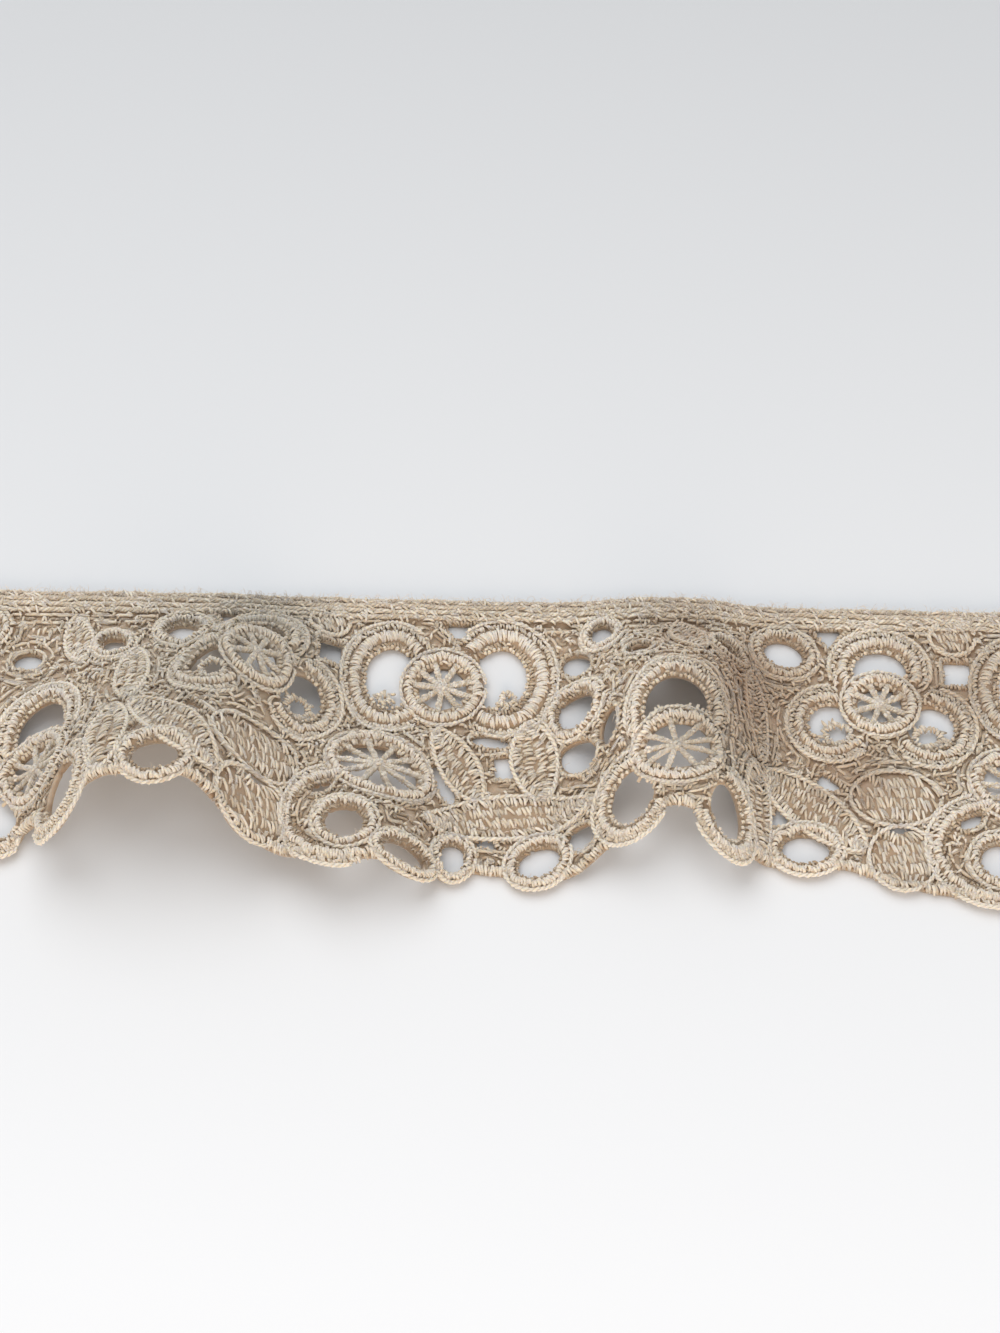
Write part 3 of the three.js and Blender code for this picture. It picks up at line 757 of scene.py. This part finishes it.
# %% Teeth
def teeth(oval, start, end, inset, reach, pitch=0.75):
    """Loops on an oval from start to end in degrees, inset from it, with their reach."""
    line = oval_line(oval, inset, 80, start, end)
    root, way = evenly(line, pitch, end - start >= 360)
    count = len(root)
    long = reach * rng.uniform(0.45, 1.2, (count, 1))
    q = np.linspace(0, 1, 5)[None, :]
    bow = rng.normal(0, 0.25, (count, 1)) * q
    high = 1.15 - 0.35 * q + rng.normal(0, 0.08, (count, 1))
    return off_line(root, way, q * long, bow, high)

toothed = [teeth(w, 0, 360, 0.66 * w["band"], 0.7) for w in WHEELS]

# The two oval wheels have loops outside the rim as well
for wheel, start, end, reach in ((2, 20, 160, -1.4), (2, 215, 325, -1.1), (3, 10, 170, -1.0)):
    toothed.append(teeth(WHEELS[wheel], start, end, 0.1, reach))
toothed += [teeth(p, p["start"], p["end"], -0.1, 0.45) for p in PETALS if p["open"]]
sewn("teeth", toothed, 0.25, 0.2, 0.35, 0.75, satin_cotton, taper=0.7)

# %% [markdown]
# ## Filled leaves and ovals
# A leaf is filled in rows that run along it, each a narrow rib of short stitches set
# across, and neighbouring ribs meet in an uneven line. The ovals are filled in the
# same way.

# %% Leaves
def rib(start, end, bow, width, pitch=0.43):
    """One row of short stitches from a point to another, bowed sideways."""
    start, end = np.array(start, float), np.array(end, float)
    s = np.linspace(0, 1, 24)
    aside = left_of(end - start) / np.linalg.norm(end - start)
    line = start + (end - start) * s[:, None] + aside * (bow * np.sin(np.pi * s))[:, None]
    made = satin(line, width, GROUND + 0.55, foot=GROUND - 0.15, pitch=pitch, lean=0.3)
    made[..., :2] += rng.normal(0, 0.13, (len(made), 1, 2))
    made[..., 2] += rng.normal(0, 0.1, (len(made), 1))
    return made

def leaf_ribs(leaf):
    rows = max(round(leaf["width"] / 1.7), 2)
    wide = leaf["width"] / rows
    bows = (np.arange(rows) - (rows - 1) / 2) * wide
    return np.concatenate([rib(leaf["base"], leaf["tip"], bow * 1.15, wide * 1.05) for bow in bows])

def blob_ribs(blob):
    rows = max(round(2 * blob["b"] / 2.0), 2)
    wide = 2 * blob["b"] / rows
    made = []
    for row in range(rows):
        v = (row + 0.5) * wide - blob["b"]
        half = blob["a"] * math.sqrt(max(1 - (v / blob["b"]) ** 2, 0.1)) - 0.2
        start, end = (blob["u"] - half, blob["v"] + v), (blob["u"] + half, blob["v"] + v)
        made.append(rib(start, end, -0.25 * v, wide * 1.1, pitch=0.45))
    return np.concatenate(made)

filled = [leaf_ribs(leaf) for leaf in LEAVES] + [blob_ribs(blob) for blob in BLOBS]
sewn("filled_stitches", filled, 0.19, 0.14, 0.25, 0.8, satin_cotton)

# %% [markdown]
# ## Overcast gaps and the scalloped edge
# The edge of each gap is held by a short overcast stitch, and the scalloped side by a
# wider one. The scallops' line is read from the drawing: at each u, the last v that
# is still cloth.

# %% Gaps
def gap_line(gap, outside=0.5, count=60):
    """A line round a gap, a little outside it."""
    if not gap["corners"]:
        return oval_line(gap, -outside, count)
    corner = oval_line(gap, -outside, gap["corners"])
    corner = np.concatenate([corner, corner[:1]])
    at = np.linspace(0, gap["corners"], count, endpoint=False)
    return points_at(at, np.arange(len(corner)), corner)

overcast = [satin(gap_line(gap), 0.85, 1.1, pitch=0.5, closed=True, points=5) for gap in GAPS]
sewn("overcast_gaps", overcast, 0.2, 0.14, 0.1, 0.6, satin_cotton)

# %% Scalloped edge
def scallop_line():
    """A line along the scallops, half a millimetre inside the edge."""
    u = np.arange(U0 + 0.4, U1 - 0.4, 0.25)
    rows = np.arange(36.0, 51.0, 0.1)
    grid_u, grid_v = np.meshgrid(u, rows, indexing="ij")
    inside = read(grid_u, grid_v)[0]
    last = rows[np.argmax(np.where(inside > 0, grid_v, 0), axis=1)]
    kernel = np.hanning(7) / np.hanning(7).sum()
    last = np.convolve(np.pad(last, 3, mode="edge"), kernel, mode="valid")
    return np.stack([u, last - 0.5], 1)

scallops = satin(scallop_line(), 1.3, 1.4, foot=0.25)
tubes("scallop_stitches", scallops, 0.21, 0.14, tones_for(scallops, 0.25, 0.75), satin_cotton)

# %% [markdown]
# ## Twisted cords
# The heading is four corded lines side by side, bound across here and there, and thin
# cords run round the petals, rings and leaves. A cord is two or three threads turned
# round each other, so each thread is a helix round the cord's line.

# %% Cords
def twisted(line, high, plies, radius, pitch, step=0.4):
    """The threads of a twisted cord along a line of the flat trim."""
    lengths = lengths_along(line)
    at = np.arange(0, lengths[-1], step)
    points = points_at(at, lengths, line)
    way = np.gradient(points, axis=0)
    way /= np.linalg.norm(way, axis=1, keepdims=True)
    made = []
    for ply in range(plies):
        t = 2 * np.pi * (at / pitch + ply / plies) + 0.8 * np.sin(at * 0.37 + line[0, 1])
        flat = points + left_of(way) * (radius * np.cos(t))[:, None]
        made.append(np.concatenate([flat, (high + radius * np.sin(t))[:, None]], 1))
    return np.stack(made)

def wavering(u, v, size):
    """v along a row that wavers by about that size."""
    wave = np.sin(u * 0.35 + v * 3) + 0.6 * np.sin(u * 0.91 + v) + 0.5 * np.sin(u * 2.3 + 2 * v)
    return v + size * wave

heading_u = np.arange(U0 + 0.1, U1 - 0.1, 0.42)
HEADING_ROWS = [(0.35, 1.0), (1.2, 1.15), (2.05, 1.1), (2.95, 1.05)]  # v and height
heading = np.concatenate([
    twisted(np.stack([heading_u, wavering(heading_u, row, 0.09)], 1), high, 3, 0.2, 2.3)
    for row, high in HEADING_ROWS])
tubes("heading_cords", heading, 0.21, 0.21, tones_for(heading, 0.3, 0.75), cord_cotton)

# %% The heading's binding stitches
def straight(u, v, way, long, points):
    """Straight stitches over places: their u and v, and from -1 to 1 along each."""
    q = np.linspace(-1, 1, points)[None, :]
    path_u = u[:, None] + q * (long * np.cos(way))[:, None]
    return path_u, v[:, None] + q * (long * np.sin(way))[:, None], q

def bindings(count):
    """Slanting stitches over one or two of the heading's cords."""
    u = rng.uniform(U0 + 1, U1 - 1, count)
    v = rng.choice([0.7, 1.6, 2.5, 3.2], count) + rng.normal(0, 0.15, count)
    long = rng.uniform(0.5, 1.1, count)
    way = rng.normal(0.5, 0.45, count)
    path_u, path_v, q = straight(u, v, way, long, 6)
    high = 0.75 + 0.75 * np.sqrt(1 - 0.9 * q ** 2)
    return np.stack([path_u, path_v, np.broadcast_to(high, path_u.shape)], 2)

bound = bindings(700)
tubes("heading_bindings", bound, 0.17, 0.13, tones_for(bound, 0.2, 0.8), cord_cotton)

# %% Thin cords round the petals, rings and leaves
def same_count(path, count):
    """Paths with that many points each, so that they can be one piece."""
    at = np.linspace(0, path.shape[1] - 1, count)
    i = np.minimum(at.astype(int), path.shape[1] - 2)
    share = (at - i)[:, None]
    return path[:, i] * (1 - share) + path[:, i + 1] * share

def leaf_sides(leaf):
    base, tip = np.array(leaf["base"]), np.array(leaf["tip"])
    t = np.linspace(0, 1, 30)[:, None]
    aside = left_of(tip - base) / np.linalg.norm(tip - base)
    swell = aside * (leaf["width"] / 2 + 0.25) * np.sin(np.pi * t) ** 0.6
    return [base + (tip - base) * t + hand * swell for hand in (-1, 1)]

lines = [arc_line(p, p["band"] + 0.75, short=3) for p in PETALS]
lines += [oval_line(r, -0.25) for r in RINGS + WHEELS] + [oval_line(b, -0.3) for b in BLOBS]
lines += [line for leaf in LEAVES for line in leaf_sides(leaf)]
thin = [same_count(twisted(line, 1.15, 2, 0.18, 1.6, step=0.25), 56) for line in lines]
sewn("outline_cords", thin, 0.2, 0.2, 0.5, 0.95, cord_cotton)

# %% [markdown]
# ## Wheels
# The open middle of a wheel is crossed by spokes: threads run from the rim to the
# centre and back, wound round each other, and the crossing is bound in a small knot.
# The knots on the spokes are a few turns of the same thread. A bud is a small ring of
# loops in a petal, held by a few threads.

# %% Spokes and hubs
def along_spoke(wheel, t, reach):
    """A point on a spoke, from 0 at the centre to 1 at the rim."""
    inner_a, inner_b = wheel["a"] - wheel["band"], wheel["b"] - wheel["band"]
    return turned(wheel, inner_a * reach * math.cos(t), inner_b * reach * math.sin(t))

def spoke_angles(wheel):
    """The spokes' directions, a little uneven."""
    i = np.arange(wheel["spokes"])
    return 2 * math.pi * (i + 0.5) / wheel["spokes"] + 0.1 * np.sin(5 * i + wheel["u"])

def spoke_threads(wheel):
    made = []
    for t in spoke_angles(wheel):
        inner, outer = along_spoke(wheel, t, 0.12), along_spoke(wheel, t, 1.3)
        line = inner + (outer - inner) * np.linspace(0, 1, 12)[:, None]
        made.append(same_count(twisted(line, 0.95, 3, 0.27, 1.2, step=0.2), 16))
    return np.concatenate(made)

def knot_turns(centre, radius, turns, high, count=26):
    """A thread wound a few times round a point, a little larger each time."""
    t = np.linspace(0, 2 * math.pi * turns, count)
    r = radius * (0.45 + 0.55 * t / t[-1]) * (1 + rng.normal(0, 0.06, count))
    turn = rng.uniform(0, 6)
    u = centre[0] + r * np.cos(t + turn)
    v = centre[1] + r * np.sin(t + turn)
    return np.stack([u, v, high + 0.16 * np.sin(t * 1.7) + 0.1 * t / t[-1]], 1)

def knots(wheel):
    """Two knots at the centre and one on each spoke."""
    made = [knot_turns(turned(wheel, 0, 0), r, 2.4, h) for r, h in ((0.8, 1.0), (0.5, 1.2))]
    for t in spoke_angles(wheel):
        at = along_spoke(wheel, t, rng.uniform(0.5, 0.9))
        made.append(knot_turns(at, rng.uniform(0.25, 0.42), 1.6, 1.05, 18))
    return made

spokes = [spoke_threads(wheel) for wheel in WHEELS]
sewn("wheel_spokes", spokes, 0.23, 0.23, 0.3, 0.8, cord_cotton)

# %% Buds and knots
BUDS = table(
    "u v a b",
    (63.6, 20.6, 2.3, 2.0),
    (76.4, 20.8, 2.4, 1.9),
    (9.4, 16.2, 1.5, 1.3),
    (-8.6, 16.4, 1.3, 1.1),
)

def bud_point(bud, t, reach, high):
    return [*turned(bud, reach * bud["a"] * math.cos(t), reach * bud["b"] * math.sin(t)), high]

def bud_stitches(bud):
    """A small hollow ring of loops, with a few threads that hold it to the petal."""
    made = [satin(oval_line(bud, 0.45), 0.9, 1.2, foot=0.5, closed=True, points=5)]
    for t in rng.uniform(0, 2 * np.pi, 9):
        outer = bud_point(bud, t + 0.3, rng.uniform(1.15, 1.6), 0.7)
        made.append(np.linspace(bud_point(bud, t, 0.7, 1.1), outer, 5)[None])
    return np.concatenate(made)

buds = [bud_stitches(bud) for bud in BUDS]
wound = [same_count(turns[None], 20) for wheel in WHEELS for turns in knots(wheel)]
sewn("wheel_knots", wound, 0.21, 0.2, 0.4, 0.85, cord_cotton)
sewn("buds", buds, 0.2, 0.18, 0.35, 0.8, cord_cotton)

# %% [markdown]
# ## The stitched ground
# Between the motifs the machine has run to and fro beside them, row after row, so the
# ground is a mat of threads that echo the nearest motif. A thread starts anywhere on
# the cloth, is drawn onto the nearest row, and follows it, as a contour line follows
# a hill. Every other row is a raised cord, painted paler as a highlight, and the low
# rows between stay darker as painted shade. Short stitches cross the rows, and some
# lie on the low sides of the bands.

# %% Rows beside the motifs
ROW = 0.62  # from one row to the next
FIRST_ROW = 0.8  # how far the first one lies from a motif, in rows

def uphill(u, v, e=0.12):
    """The way that leads away from the nearest motif."""
    gu = read(u + e, v)[2] - read(u - e, v)[2]
    gv = read(u, v + e)[2] - read(u, v - e)[2]
    size = np.maximum(np.hypot(gu, gv), 1e-6)
    return gu / size, gv / size

def starts(count, on_bands=0.0):
    """Places on the ground, and for a share of them also on the bands' low sides."""
    u = rng.uniform(U0 + 0.6, U1 - 0.6, count)
    v = rng.uniform(HEADING_WIDTH, DEPTH, count)
    inside, high, beside = read(u, v)
    low_side = (high < GROUND + 0.03) & (rng.random(count) < on_bands)
    kept = (inside > 0.3) & ((beside > 0.2) | low_side) & (high > 0.5)
    return u[kept], v[kept]

def rows(count, points=8, step=0.45):
    """Threads that follow a row, and the number of that row."""
    u, v = starts(count)
    row = np.maximum(np.round(read(u, v)[2] / ROW - FIRST_ROW), 0)
    level = (row + FIRST_ROW) * ROW + rng.normal(0, 0.12, len(u))
    hand = rng.choice([-1, 1], len(u))
    path = []
    alive = np.full(len(u), True)
    for _ in range(points):
        gu, gv = uphill(u, v)
        off = np.clip(level - read(u, v)[2], -0.25, 0.25)
        u, v = u + gu * off, v + gv * off
        path.append(np.stack([u, v], 1))
        nu, nv = u - gv * step * hand, v + gu * step * hand
        alive &= (read(nu, nv)[0] > 0.2) & (nu > U0 + 0.3) & (nu < U1 - 0.3) & (nv > 2.8)
        u, v = np.where(alive, nu, u), np.where(alive, nv, v)
    flat = np.stack(path, 1)
    for _ in range(2):
        flat[:, 1:-1] = (flat[:, :-2] + 2 * flat[:, 1:-1] + flat[:, 2:]) / 4
    raised = np.where(row % 2 == 0, 0.34, 0.1) + rng.normal(0, 0.07, len(u))
    wave = 0.05 * np.sin(rng.uniform(0, 6, (len(u), 1)) + np.arange(points) * 1.1)
    high = GROUND + raised[:, None] + wave
    return np.concatenate([flat, high[..., None]], 2), row

row_paths, row_numbers = rows(8000)
# Even rows are raised and get paler tones, a painted highlight; the low rows stay darker, as painted shade
row_tones = tones_for(row_paths, 0.1, 0.45) + np.where(row_numbers % 2 == 0, 0.25, 0)
half = len(row_paths) // 2
tubes("ground_rows", row_paths[:half], 0.2, 0.18, row_tones[:half], cord_cotton)
tubes("ground_rows_over", row_paths[half:], 0.2, 0.18, row_tones[half:], cord_cotton)

# %% Stitches across the rows
def crossings(count):
    """Short stitches, half of them uphill and the others any way."""
    u, v = starts(count, on_bands=0.4)
    gu, gv = uphill(u, v)
    across = np.arctan2(gv, gu) + rng.normal(0, 0.45, len(u))
    way = np.where(rng.random(len(u)) < 0.5, across, rng.uniform(0, 2 * np.pi, len(u)))
    long = rng.uniform(0.35, 0.8, len(u))
    path_u, path_v, q = straight(u, v, way, long, 4)
    path_v = np.maximum(path_v, 2.9)
    high = GROUND + 0.1 + 0.5 * np.sqrt(1 - 0.9 * q ** 2) + rng.normal(0, 0.06, (len(u), 1))
    inside = read(path_u, path_v)[0].min(1) > 0.05
    return np.stack([path_u, path_v, high], 2)[inside]

cross_paths = crossings(8800)
tubes("ground_crossings", cross_paths, 0.18, 0.13, tones_for(cross_paths, 0.15, 0.75), cord_cotton)

# %% [markdown]
# ## Loose fibres
# Cotton is spun from short fibres, and some stand off the thread. They are too thin
# to see one by one, but they soften the edges of the trim against the light.

# %% Fibres
def fibres(count, points=3):
    """Short curved fibres, most of them near the edges, a fifth along the heading's back."""
    u = rng.uniform(U0 + 0.5, U1 - 0.5, count)
    v = np.where(rng.random(count) < 0.2, rng.uniform(-0.1, 1.0, count), rng.uniform(0, DEPTH, count))
    inside, high, _beside = read(u, v)
    kept = (inside > 0.05) & ((inside < 1.2) | (rng.random(count) < 0.4))
    u, v, high = u[kept], v[kept], high[kept]
    way = rng.uniform(0, 2 * np.pi, len(u))
    bend = rng.normal(0, 0.5, len(u))
    length = rng.uniform(0.4, 1.4, len(u))
    path = []
    for k in range(points):
        s = k / (points - 1)
        turn = way + bend * s * 2
        path.append(np.stack([u + length * s * np.cos(turn), v + length * s * np.sin(turn),
                              high + 0.15 + 0.45 * length * math.sin(2.6 * s)], 1))
    return np.stack(path, 1)

loose = fibres(12000)
tubes("loose_fibres", loose, 0.035, 0.035, tones_for(loose, 0.4, 0.9), cord_cotton, taper=0.3, sides=3)

# %% [markdown]
# ## What the sheet is
# The ground is a sheet of cloth that lies on its back, and the stitches go with it.
# Its flat size is the cut length by 49 mm, the depth as first read from the photograph;
# the scallops are drawn 46.2 mm deep. Its area is the cloth that is left after the gaps.

# %% [markdown]
# ## Floor, light and camera
# The floor is pale, with painted light: darker behind the trim and brighter in front.
# A broad soft light stands behind the heading and above it, as a window does, so each
# fold throws a soft shadow towards the scallops. A weaker and warmer one stands low on
# the scalloped side, so that the undersides and the front of the folds don't go grey.
# The camera looks down at 60 degrees from that side.

# %% Floor
# Painted light: the floor's colour runs from darker behind the trim to brighter in front
FLOOR_SHADED_BEHIND = (0.57, 0.59, 0.61, 1)
FLOOR_LIT_IN_FRONT = (0.84, 0.87, 0.90, 1)
bm = bmesh.new()
bmesh.ops.create_grid(bm, x_segments=1, y_segments=1, size=3.0)
floor = new_object("floor", mesh_from(bm, "floor"))
plain, tree, shader = new_material("plain floor")
shader.inputs["Roughness"].default_value = 0.9
place = node(tree, "ShaderNodeTexCoord")
parts = node(tree, "ShaderNodeSeparateXYZ", place.outputs["Object"])
front = node(tree, "ShaderNodeMapRange", parts.outputs["Y"], From_Min=0.14, From_Max=-0.1)
pale = node(tree, "ShaderNodeMix", front.outputs["Result"], data_type="RGBA")
pale.inputs[6].default_value = FLOOR_SHADED_BEHIND
pale.inputs[7].default_value = FLOOR_LIT_IN_FRONT
tree.links.new(pale.outputs[2], shader.inputs["Base Color"])
floor.data.materials.append(plain)
print("floor:", floor.data.materials[0].name)

# %% Lights
def soft_light(name, place, size, power, colour=(1, 1, 1), aim=(0, -0.02, 0)):
    """A round area light turned towards the trim."""
    data = bpy.data.lights.new(name, "AREA")
    data.shape, data.size, data.energy, data.color = "DISK", size, power, colour
    light = new_object(name, data)
    light.location = place
    away = np.array(place) - np.array(aim)
    pitch = math.atan2(math.hypot(away[0], away[1]), away[2])
    light.rotation_euler = (pitch, 0, math.atan2(away[0], -away[1]))

soft_light("window", (-0.3, 0.55, 1.05), 1.3, 8.4)
soft_light("room", (0.05, -0.8, 0.27), 0.7, 4.2, colour=(1.0, 0.79, 0.6))
world = bpy.data.worlds.new("soft room")
world.use_nodes = True
background = world.node_tree.nodes["Background"]
background.inputs["Color"].default_value = (0.97, 0.98, 1.0, 1)
background.inputs["Strength"].default_value = 0.6
bpy.context.scene.world = world
bpy.context.scene.view_settings.view_transform = "Standard"

# %% Camera
CAMERA_ELEVATION, CAMERA_ROLL = 60.0, 1.3
CAMERA_AIM, CAMERA_DISTANCE = (0.0, -0.0085, 0.0), 0.372
data = bpy.data.cameras.new("camera")
data.lens, data.sensor_width = 70, 36
camera = new_object("camera", data)
e = math.radians(CAMERA_ELEVATION)
camera.location = (CAMERA_AIM[0], CAMERA_AIM[1] - CAMERA_DISTANCE * math.cos(e),
                   CAMERA_AIM[2] + CAMERA_DISTANCE * math.sin(e))
roll = Matrix.Rotation(math.radians(CAMERA_ROLL), 4, "Z")
camera.rotation_euler = (Matrix.Rotation(math.radians(90) - e, 4, "X") @ roll).to_euler()
bpy.context.scene.camera = camera
print("camera", CAMERA_DISTANCE, "m away")
